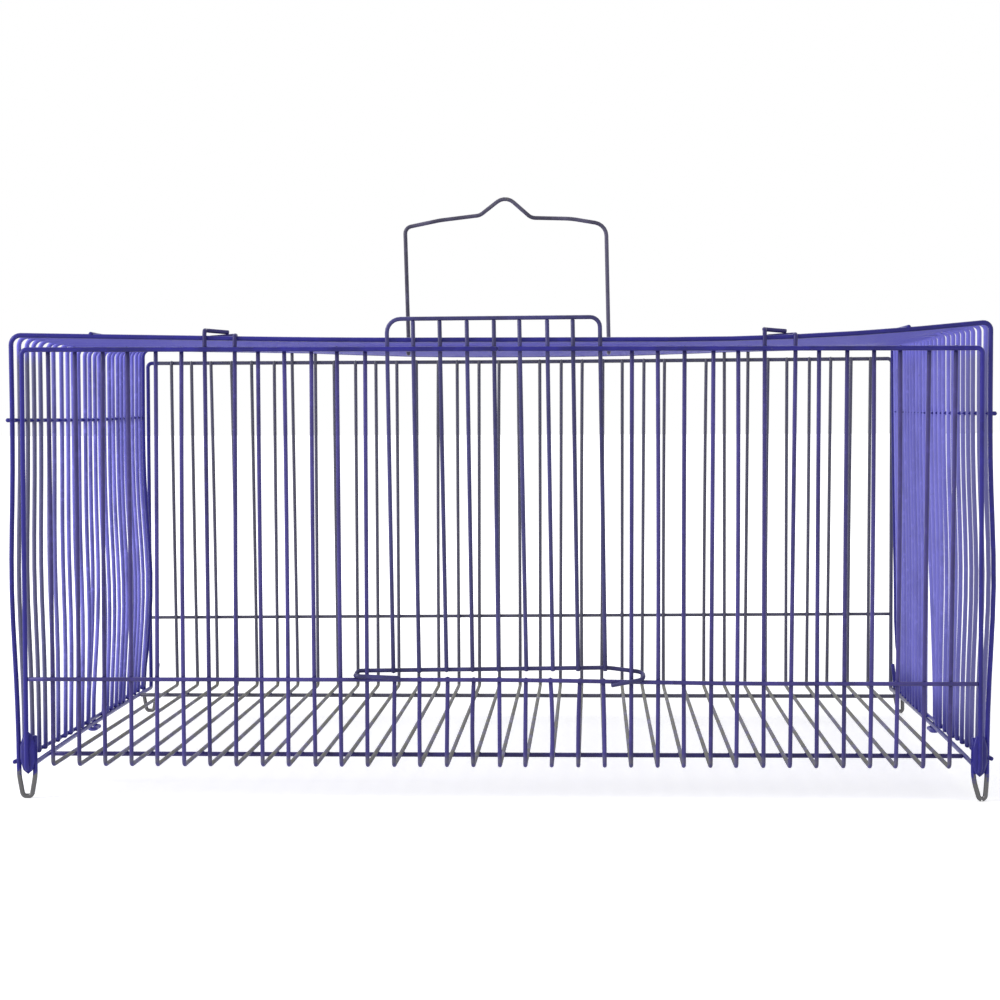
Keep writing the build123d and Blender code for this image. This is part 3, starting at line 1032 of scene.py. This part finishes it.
LIFT_BENDS = [lift_bend(*lift) for lift in zip(LIFTS, LIFT_RUNS, LIFT_SHARES)]
TOP_BENDS = [COVER_BENDS[0], *LIFT_BENDS, COVER_BENDS[1]]


def cover_corners(y, radius, left, right):
    """The route of a cover wire: up the left end, along the top, which lifts at both ends, and down."""
    x = END_X + GRID_R - radius
    top = COVER_Z + GRID_R - radius
    lifted = [
        corner(-x, y, top + LIFTS[0]),
        corner(LIFT_RUNS[0] - x, y, top),
        corner(x - LIFT_RUNS[1], y, top),
        corner(x, y, top + LIFTS[1]),
    ]
    return left + lifted + right


def plain_cover_corners(y):
    """The route of a plain cover wire, cut off against the bottom edge wires."""
    ends = [corner(side * END_X, y, EDGE_Z + edge_bend(side, y) - EDGE_INSET) for side in (-1, 1)]
    return cover_corners(y, GRID_R, ends[:1], ends[1:])


def cover_line(index):
    """A plain cover wire, its uprights leaning a little."""
    reaches = [bpy.context.scene.cage_wires.stray * share for share in COVER_STRAY]
    corners = leaning(plain_cover_corners(cover_y(index)), ACROSS, reaches, f"cover wire {index}")
    return settled(bent_line(corners, TOP_BENDS))


def end_tie_line(index, partner):
    """A cover wire whose ends pass under the floor edges and meet those of its partner."""
    y = cover_y(index)
    meet_y = (y + cover_y(partner)) / 2
    tie_z = FRAME_FLOOR_Z - FRAME_R - RUNNING_GAP - GRID_R
    inner_x = END_X - END_TIE_REACH
    left = [corner(-inner_x, meet_y, tie_z), corner(-inner_x, y, tie_z), corner(-END_X, y, tie_z)]
    right = [corner(END_X, y, tie_z), corner(inner_x, y, tie_z), corner(inner_x, meet_y, tie_z)]
    corners = cover_corners(y, GRID_R, left, right)
    return settled(bent_line(corners, [END_TIE_BEND] * 2 + TOP_BENDS + [END_TIE_BEND] * 2), TIE_BOW_SHARES)


def foot_corners(side, y):
    """The foot loop at one end of a foot wire, from its inner end down to the tip and out again."""
    widths = BACK_FOOT_WIDTHS if y > PIVOT.y else FRONT_FOOT_WIDTHS
    inner_x = side * (FOOT_WIRE_X - of_side(widths, side))
    outer_x = side * FOOT_WIRE_X
    tip_x = (inner_x + outer_x) / 2 + of_side(FOOT_LEANS, side)
    tip = side * of_side(FOOT_TIPS, side) / 2
    return [
        corner(inner_x, y, FLOOR_Z + FOOT_RETURN),
        corner(inner_x, y, FOOT_Z + FOOT_TAPER),
        corner(tip_x - tip, y, FOOT_Z),
        corner(tip_x + tip, y, FOOT_Z),
        corner(outer_x, y, FOOT_Z + FOOT_TAPER),
    ]


def foot_line(y):
    """An outer cover wire whose ends turn up again as tapered foot loops."""
    left = foot_corners(-1, y)
    right = foot_corners(1, y)[::-1]
    foot_bends = [FOOT_TAPER_BEND, FOOT_BEND, FOOT_BEND, FOOT_TAPER_BEND]
    corners = cover_corners(y, FRAME_R, left, right)
    line = settled(bent_line(corners, foot_bends + TOP_BENDS + foot_bends[::-1]))
    if y < PIVOT.y:
        return line
    return [p + ALONG * back_foot_out(p) for p in line]


def back_foot_out(point):
    """How far a point of the back foot wire has gone out with its foot."""
    low = eased(1 - share_between(point.z, FLOOR_Z, FLOOR_Z + BACK_FOOT_RUN))
    return low * of_side(BACK_FOOT_OUTS, point.x)


def top_height(x):
    """How high the cover's plain wires run at some place along the length."""
    line = bent_line(plain_cover_corners(PIVOT.y), TOP_BENDS)
    for start, end in zip(line, line[1:]):
        if start.x < x <= end.x:
            return start.lerp(end, (x - start.x) / (end.x - start.x)).z
    raise RuntimeError(f"no top wire at {x}")


def brace_line(side, kind):
    """A wire across the cover, where the settled cover carries it."""
    line = straight_line(f"{side}_{kind}", DEPTHWISE)
    if kind == "top_brace":
        carried = settled([corner(p.x, p.y, top_height(p.x)) for p in line])
        return [point + UP * (WELD - TOP_BRACE_SINK) for point in carried]
    if kind == "bottom_edge":
        return settled([corner(p.x, p.y, p.z + edge_bend(p.x, p.y)) for p in line])
    return settled([corner(p.x, p.y, p.z + of_side(BRACE_SETTLES, p.x)) for p in line])


def door_set(points):
    """A line of the door, which leans and tilts a little in its plane."""
    height = DOOR_TOP_Z - BAR_Z
    return [p + Vector((-DOOR_LEAN * (p.z - BAR_Z) / height, 0, DOOR_TILT * p.x)) for p in points]


def door_frame_line():
    """The inverted U of the door."""
    ends = [(-DOOR_X, DOOR_FOOT_Z), (-DOOR_X, DOOR_TOP_Z), (DOOR_X, DOOR_TOP_Z), (DOOR_X, DOOR_FOOT_Z)]
    return door_set(bent_line([corner(x, DOOR_Y, z) for x, z in ends], DOOR_BENDS))


def door_bar_line(number):
    """One of the door's upright bars."""
    line = straight_line(f"door_bar_{number}", UPRIGHT)
    reach = bpy.context.scene.cage_wires.stray * DOOR_STRAY
    ends = leaning([line[0], line[-1]], ALONG, [reach, reach], f"door bar {number}")
    return door_set(divided(ends))


def door_bottom_line():
    """The bar behind the door's wires, its ends hooked forward round the guide wires."""
    hook_x = GUIDE_SPACES * PITCH + HOOK_OVERHANG
    slope = math.atan2(BAR_Z - FRONT_RAIL_Z, BAR_Y - RAIL_Y)
    slope -= math.asin((GRID_WIRE + RUNNING_GAP) / math.hypot(BAR_Z - FRONT_RAIL_Z, BAR_Y - RAIL_Y))
    right_z = BAR_Z - (BAR_Y - TAIL_Y) * math.tan(slope) - RIGHT_HOOK_FALL
    tilt = BAR_TILT * hook_x
    left_z = BAR_Z - tilt
    corners = [
        corner(LEFT_TAIL - hook_x, TAIL_Y - LEFT_TAIL_OUT, left_z - LEFT_TAIL_FALL),
        corner(-hook_x, TAIL_Y - LEFT_TAIL_OUT, left_z),
        corner(-hook_x, BAR_Y, left_z),
        corner(hook_x - DROOP_RUN, BAR_Y, BAR_Z + tilt),
        corner(hook_x, BAR_Y, BAR_Z - RIGHT_DROOP),
        corner(hook_x, TAIL_Y, right_z),
        corner(hook_x - RIGHT_TAIL, TAIL_Y, right_z - RIGHT_TAIL_FALL),
    ]
    line = bent_line(corners, [HOOK_BEND] * 2 + [DROOP_BEND] + [HOOK_BEND] * 2)
    return door_set([point - UP * left_hook_fall(point) for point in line])


def left_hook_fall(point):
    """How far the left hook of the door's bottom bar has fallen, so that it passes under the top rail."""
    if point.x > 0:
        return 0
    return LEFT_HOOK_FALL * eased(share_between(point.y, BAR_Y, BAR_Y - HOOK_FALL_RUN))


def eye_points(x, radius):
    """The eye at the foot of a handle leg, from its cut end round the pivot wire to the leg."""
    turns = [math.radians(EYE_START + (360 - EYE_START) * k / EYE_STEPS) for k in range(EYE_STEPS + 1)]
    return [PIVOT + Vector((x, math.cos(turn) * radius, math.sin(turn) * radius)) for turn in turns]


def handle_line():
    """The bail: two legs, sloping shoulders with a peak, and an eye round the pivot wire at each leg."""
    eye_radius = GRID_R + RUNNING_GAP + HANDLE_R
    y = PIVOT.y + eye_radius
    ridge_z = HANDLE_TOP_Z - RIDGE_DROP
    left_eye_x = EYE_SHIFTS[0] - HANDLE_LEG_X
    right_eye_x = EYE_SHIFTS[1] + HANDLE_LEG_X
    corners = [corner(x, y, ridge_z + height) for x, height, bend in BAIL]
    corners = [corner(left_eye_x, y, COVER_Z)] + corners + [corner(right_eye_x, y, COVER_Z)]
    bail = bent_line(corners, [bend for x, height, bend in BAIL])
    left = eye_points(left_eye_x, eye_radius)
    right = eye_points(right_eye_x, eye_radius)[::-1]
    return [point + ALONG * HANDLE_SHIFT for point in left[:-1] + bail + right[1:]]


class CAGE_OT_cradle(bpy.types.Operator):
    """Draws the bent wires of the cradle: edge frames, grid wires, guides and ties"""

    bl_idname = "cage.cradle"
    bl_label = "Cradle wires"

    def execute(self, context):
        wires = context.scene.cage_wires
        middle = GRID_SPACES // 2
        left_tie = (TIE_SPACES, TIE_SPACES + 1)
        right_tie = (GRID_SPACES - TIE_SPACES - 1, GRID_SPACES - TIE_SPACES)
        left_guide = middle - GUIDE_SPACES
        right_guide = middle + GUIDE_SPACES
        plain_left = [i for i in range(1, left_guide) if i not in left_tie]
        plain_right = [i for i in range(right_guide + 1, GRID_SPACES) if i not in right_tie]
        lines = {
            "left_grid_wires": [grid_line(i) for i in plain_left],
            "right_grid_wires": [grid_line(i) for i in plain_right],
            "doorway_grid_wires": [doorway_line(i) for i in range(left_guide + 1, right_guide)],
            "left_guide_wire": [grid_line(left_guide, stray=0)],
            "right_guide_wire": [grid_line(right_guide, stray=0)],
            "left_tie_wires": tie_lines(left_tie, LEFT_TIE_ENDS),
            "right_tie_wires": tie_lines(right_tie, RIGHT_TIE_ENDS),
        }
        for node, routes in lines.items():
            coat_wires(node, routes, wires.grid_wire, "Cradle coat", "cradle_wire")
        for side, node in ((-1, "left_edge_frame"), (1, "right_edge_frame")):
            coat_wires(node, [frame_line(side)], wires.frame_wire, "Frame coat", "cradle_wire")
        return {"FINISHED"}


class CAGE_OT_rails(bpy.types.Operator):
    """Draws the straight wires along the cradle: front and back rails and floor runners"""

    bl_idname = "cage.rails"
    bl_label = "Rails and runners"

    def execute(self, context):
        wires = context.scene.cage_wires
        for node, bend in (("front_rail", front_rail_bend), ("back_rail", back_rail_bend)):
            line = [point + UP * bend(point.x) for point in straight_line(node, LENGTHWISE)]
            if node == "back_rail":
                line[0] -= ALONG * LEFT_BACK_OUT
            coat_wires(node, [line], wires.grid_wire, "Rail coat", "cradle_wire")
        for node in ("front_floor_runner", "back_floor_runner"):
            line = straight_line(node, LENGTHWISE)
            line = [p + ALONG * p.x / CORNER_X * floor_edge_out(p.x, p.y) for p in line]
            coat_wires(node, [line], wires.frame_wire, "Runner coat", "cradle_wire")
        return {"FINISHED"}


class CAGE_OT_cover(bpy.types.Operator):
    """Draws the bent wires of the cover: plain wires, the middle ties and the foot wires"""

    bl_idname = "cage.cover"
    bl_label = "Cover wires"

    def execute(self, context):
        wires = context.scene.cage_wires
        first, last = MIDDLE_WIRES
        lines = {
            "front_cover_wires": [cover_line(i) for i in range(1, first)],
            "back_cover_wires": [cover_line(i) for i in range(last + 1, COVER_WIRES - 1)],
            "middle_tie_wires": [end_tie_line(first, last), end_tie_line(last, first)],
        }
        for node, routes in lines.items():
            coat_wires(node, routes, wires.cover_wire, "Cover coat", "cover_wire")
        for node, y in (("front_foot_wire", COVER_FIRST_Y), ("back_foot_wire", COVER_LAST_Y)):
            coat_wires(node, [foot_line(y)], wires.frame_wire, "Foot coat", "cover_wire", floor=0)
        return {"FINISHED"}


class CAGE_OT_braces(bpy.types.Operator):
    """Draws the straight wires across the cover: bottom edges, end braces and top braces"""

    bl_idname = "cage.braces"
    bl_label = "Edges and braces"

    def execute(self, context):
        thickness = context.scene.cage_wires.grid_wire
        for side in ("left", "right"):
            for kind in ("bottom_edge", "end_brace", "top_brace"):
                coat_wires(f"{side}_{kind}", [brace_line(side, kind)], thickness, "Edge coat", "cover_wire")
        return {"FINISHED"}


class CAGE_OT_door(bpy.types.Operator):
    """Draws the sliding door: its frame, its bars and the bottom bar with the two hooks"""

    bl_idname = "cage.door"
    bl_label = "Door"

    def execute(self, context):
        thickness = context.scene.cage_wires.grid_wire
        lines = {"door_frame": door_frame_line(), "door_bottom_bar": door_bottom_line()}
        for number in range(1, DOOR_BARS + 1):
            lines[f"door_bar_{number}"] = door_bar_line(number)
        for node, line in lines.items():
            coat_wires(node, [line], thickness, "Door coat", "door_wire")
        return {"FINISHED"}


class CAGE_OT_handle(bpy.types.Operator):
    """Draws the bail handle with its two eyes"""

    bl_idname = "cage.handle"
    bl_label = "Handle"

    def execute(self, context):
        thickness = context.scene.cage_wires.handle_wire
        coat_wires("handle", [handle_line()], thickness, "Handle coat", "handle_wire")
        return {"FINISHED"}


def on_run(point, start, end):
    """Whether a point lies on a straight run, or hardly past its ends."""
    share = (point - start).dot(end - start) / (end - start).length_squared
    return -CROSSING_SLACK <= share <= 1 + CROSSING_SLACK


def crossing(points, rail):
    """Where a wire passes nearest to a rail: the gap, both nearest points and both directions."""
    found = []
    for a, b in zip(points, points[1:]):
        for c, d in zip(rail, rail[1:]):
            near = intersect_line_line(a, b, c, d)
            if near and on_run(near[0], a, b) and on_run(near[1], c, d):
                found.append(((near[0] - near[1]).length, near[0], near[1], b - a, d - c))
    return min(found, key=lambda item: item[0], default=None)


def weld_beads(wires, rails, reaches, place):
    """A bead at each place where one of the wires touches a rail, centred some way from wire to rail."""
    parts = []
    for points, radius in wires:
        for rail, rail_radius in rails:
            met = crossing(points, rail)
            if met is None or met[0] > radius + rail_radius + WELD_REACH:
                continue
            on_wire, on_rail, along, across = met[1:]
            size = random.Random(f"weld {len(parts)}").uniform(*WELD_SPREAD)
            sizes = [reach * size for reach in reaches]
            parts.append(bead(on_wire.lerp(on_rail, place), along.normalized(), across.normalized(), sizes))
    return parts


def corner_beads():
    """The beads that hold the front foot loops' inner ends to the corners of the edge frames."""
    beads = []
    for side in (-1, 1):
        inner_end = settled(foot_corners(side, COVER_FIRST_Y)[:1])[0]
        x = (inner_end.x + side * CORNER_X) / 2 + side * CORNER_BEAD_OUT
        y = (COVER_FIRST_Y + FRAME_FRONT_Y) / 2
        beads.append(bead(corner(x, y, FLOOR_Z + CORNER_BEAD_RISE), ALONG, ACROSS, CORNER_BEAD))
    return beads


def top_rail(y):
    """The top rail at the front or the back, in one line from corner to corner, and its radius."""
    ends = [corner(-CORNER_X, y, TOP_RAIL_Z), corner(CORNER_X, y, TOP_RAIL_Z)]
    return cradle_set(divided(ends), lean=0), FRAME_R


def wires_of(*nodes):
    """The wires already drawn for some nodes."""
    return [wire for node in nodes for wire in drawn[node]]


class CAGE_OT_welds(bpy.types.Operator):
    """Adds the weld fillets at the crossings of the cradle, the cover and the door"""

    bl_idname = "cage.welds"
    bl_label = "Weld fillets"

    def execute(self, context):
        reach = context.scene.cage_wires.fillet
        fillet = (reach, reach, reach * FILLET_DEPTH)
        top_fillet = (GRID_R, GRID_R, reach * FILLET_DEPTH)
        cradle = wires_of("left_grid_wires", "right_grid_wires", "doorway_grid_wires", "left_guide_wire")
        cradle += wires_of("right_guide_wire", "left_tie_wires", "right_tie_wires")
        rails = [top_rail(FRAME_FRONT_Y), top_rail(FRAME_BACK_Y)]
        rails += wires_of("front_rail", "back_rail", "front_floor_runner", "back_floor_runner")
        cover = wires_of("front_cover_wires", "back_cover_wires", "middle_tie_wires")
        cover += wires_of("front_foot_wire", "back_foot_wire")
        ends = wires_of("left_bottom_edge", "left_end_brace", "right_bottom_edge", "right_end_brace")
        tops = wires_of("left_top_brace", "right_top_brace")
        bars = wires_of("door_frame", *[f"door_bar_{number}" for number in range(1, DOOR_BARS + 1)])
        foot_bar = wires_of("door_bottom_bar")
        cradle_beads = weld_beads(cradle, rails, fillet, FILLET_PLACE)
        collars = weld_beads(cover, ends, COLLAR, COLLAR_PLACE)
        top_beads = weld_beads(cover, tops, top_fillet, FILLET_PLACE)
        door_beads = weld_beads(bars, foot_bar, fillet, FILLET_PLACE)
        mesh_piece("cradle_weld_fillets", cradle_beads, "Weld coat", "cradle_wire")
        mesh_piece("cover_weld_collars", collars, "Edge coat", "cover_wire")
        mesh_piece("cover_weld_fillets", top_beads, "Cover coat", "cover_wire")
        mesh_piece("door_weld_fillets", door_beads, "Weld coat", "door_wire")
        mesh_piece("corner_weld_beads", corner_beads(), "Edge coat", "cover_wire")
        return {"FINISHED"}


def lamp(name, place, size, power):
    """A large soft lamp that faces the middle of the cage."""
    light = bpy.data.lights.new(name, "AREA")
    light.shape = "DISK"
    light.size = size
    light.energy = power
    holder = bpy.data.objects.new(name, light)
    holder.location = place
    aim = Vector((0, 0, COVER_Z / 2))
    holder.rotation_euler = (aim - Vector(place)).to_track_quat("-Z", "Y").to_euler()
    bpy.context.scene.collection.objects.link(holder)


def seen_directly(tree):
    """1 for rays that show the background itself, and 0 for those that only bring its light."""
    path = put(tree, "ShaderNodeLightPath").outputs
    seen = math_node(tree, "MAXIMUM", path["Is Camera Ray"], path["Is Glossy Ray"])
    return math_node(tree, "MAXIMUM", seen, path["Is Transmission Ray"])


def white_room(room_light):
    """A world that lights evenly and shows as white."""
    world = bpy.data.worlds.new("White room")
    tree = empty_tree(world)
    strength = math_node(tree, "MULTIPLY_ADD", seen_directly(tree), 1 - room_light, room_light)
    sky = put(tree, "ShaderNodeBackground", {"Color": WHITE, "Strength": strength})
    put(tree, "ShaderNodeOutputWorld", {"Surface": sky.outputs["Background"]})
    return world


def floor_material(colour, glow):
    """A pale floor that keeps the cage's shadow and fades to white away from it."""
    material = bpy.data.materials.new("Pale floor")
    tree = empty_tree(material)
    place = put(tree, "ShaderNodeTexCoord").outputs["Object"]
    distance = put(tree, "ShaderNodeVectorMath", {0: place}, operation="LENGTH").outputs["Value"]
    away = ramp(tree, distance, SHADOW_REACH, WHITE_REACH)
    raised = math_node(tree, "MULTIPLY_ADD", away, 1 - glow, glow)
    paper = put(tree, "ShaderNodeBsdfDiffuse", {"Color": colour})
    shown = math_node(tree, "MULTIPLY", seen_directly(tree), raised)
    light = put(tree, "ShaderNodeEmission", {"Strength": shown})
    both = put(tree, "ShaderNodeAddShader", {0: paper.outputs[0], 1: light.outputs[0]})
    put(tree, "ShaderNodeOutputMaterial", {"Surface": both.outputs[0]})
    return material


class CAGE_OT_studio(bpy.types.Operator):
    """Sets the camera, the lamps, the white room and the pale floor"""

    bl_idname = "cage.studio"
    bl_label = "Studio"

    def execute(self, context):
        studio = context.scene.cage_studio
        context.scene.view_settings.view_transform = "Standard"
        context.scene.world = white_room(studio.room_light)
        mesh = bpy.data.meshes.new("floor")
        corners = [(x * FLOOR_HALF, y * FLOOR_HALF, 0) for x, y in ((-1, -1), (1, -1), (1, 1), (-1, 1))]
        mesh.from_pydata(corners, [], [(0, 1, 2, 3)])
        mesh.materials.append(floor_material(list(studio.floor_colour), studio.floor_glow))
        floor = bpy.data.objects.new("floor", mesh)
        context.scene.collection.objects.link(floor)
        lamp("key_lamp", KEY_PLACE, KEY_SIZE, studio.key_power)
        lamp("fill_lamp", FILL_PLACE, FILL_SIZE, studio.fill_power)
        lamp("back_lamp", BACK_PLACE, BACK_SIZE, studio.back_power)
        camera = bpy.data.cameras.new("photo_camera")
        camera.lens = studio.lens
        holder = bpy.data.objects.new("photo_camera", camera)
        holder.location = studio.camera_place
        holder.rotation_euler = studio.camera_turn
        context.scene.collection.objects.link(holder)
        context.scene.camera = holder
        return {"FINISHED"}


class CAGE_PT_panel(bpy.types.Panel):
    """Lists the steps that dress the cage"""

    bl_idname = "CAGE_PT_panel"
    bl_label = "Travel cage"
    bl_space_type = "VIEW_3D"
    bl_region_type = "UI"
    bl_category = "Cage"

    def draw(self, context):
        layout = self.layout
        for operator in OPERATORS:
            layout.operator(operator.bl_idname)
        for settings in (context.scene.cage_wires, context.scene.cage_finish, context.scene.cage_studio):
            column = layout.column(align=True)
            for name in settings.__annotations__:
                column.prop(settings, name)


OPERATORS = (
    CAGE_OT_cradle,
    CAGE_OT_rails,
    CAGE_OT_cover,
    CAGE_OT_braces,
    CAGE_OT_door,
    CAGE_OT_handle,
    CAGE_OT_welds,
    CAGE_OT_studio,
)
CLASSES = (CageWires, CageFinish, CageStudio) + OPERATORS + (CAGE_PT_panel,)


def register():
    for item in CLASSES:
        bpy.utils.register_class(item)
    bpy.types.Scene.cage_wires = PointerProperty(type=CageWires)
    bpy.types.Scene.cage_finish = PointerProperty(type=CageFinish)
    bpy.types.Scene.cage_studio = PointerProperty(type=CageStudio)


def unregister():
    del bpy.types.Scene.cage_studio
    del bpy.types.Scene.cage_finish
    del bpy.types.Scene.cage_wires
    for item in reversed(CLASSES):
        bpy.utils.unregister_class(item)


def main():
    register()
    bpy.ops.cage.cradle()
    bpy.ops.cage.rails()
    bpy.ops.cage.cover()
    bpy.ops.cage.braces()
    bpy.ops.cage.door()
    bpy.ops.cage.handle()
    bpy.ops.cage.welds()
    bpy.ops.cage.studio()


if __name__ == "__main__":
    main()
